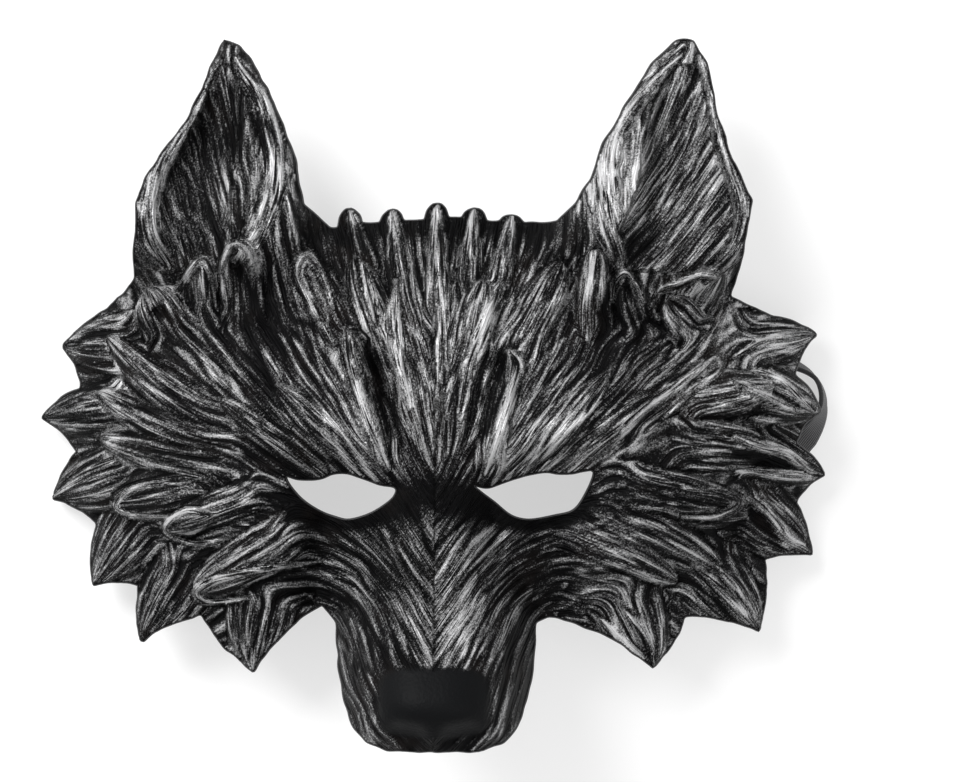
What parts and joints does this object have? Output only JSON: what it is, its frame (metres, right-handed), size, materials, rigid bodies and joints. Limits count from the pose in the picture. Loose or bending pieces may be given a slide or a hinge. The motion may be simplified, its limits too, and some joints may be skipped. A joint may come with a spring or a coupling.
{
  "type": "werewolf mask",
  "caption": "Moulded half mask of a wolf-like beast with ears, muzzle, eye holes and tufted fur, and an elastic strap behind.",
  "frame": {"origin": "under the middle of the mask, on the surface that it lies on", "axes": "+Z is the way the face looks, +Y runs from the lip to the ears, +X is to the right as seen from the front"},
  "size_m": [0.2672, 0.2298, 0.1024],
  "materials": {
    "moulded_foam": "black moulded foam with silver dry brushing on the raised fur",
    "woven_elastic": "charcoal woven elastic",
    "backing_pad": "plain black felt"
  },
  "bodies": {
    "root": {"mask_shell": "moulded_foam", "elastic_strap": "woven_elastic", "strap_patch_left": "backing_pad", "strap_patch_right": "backing_pad"}
  },
  "joints": []
}
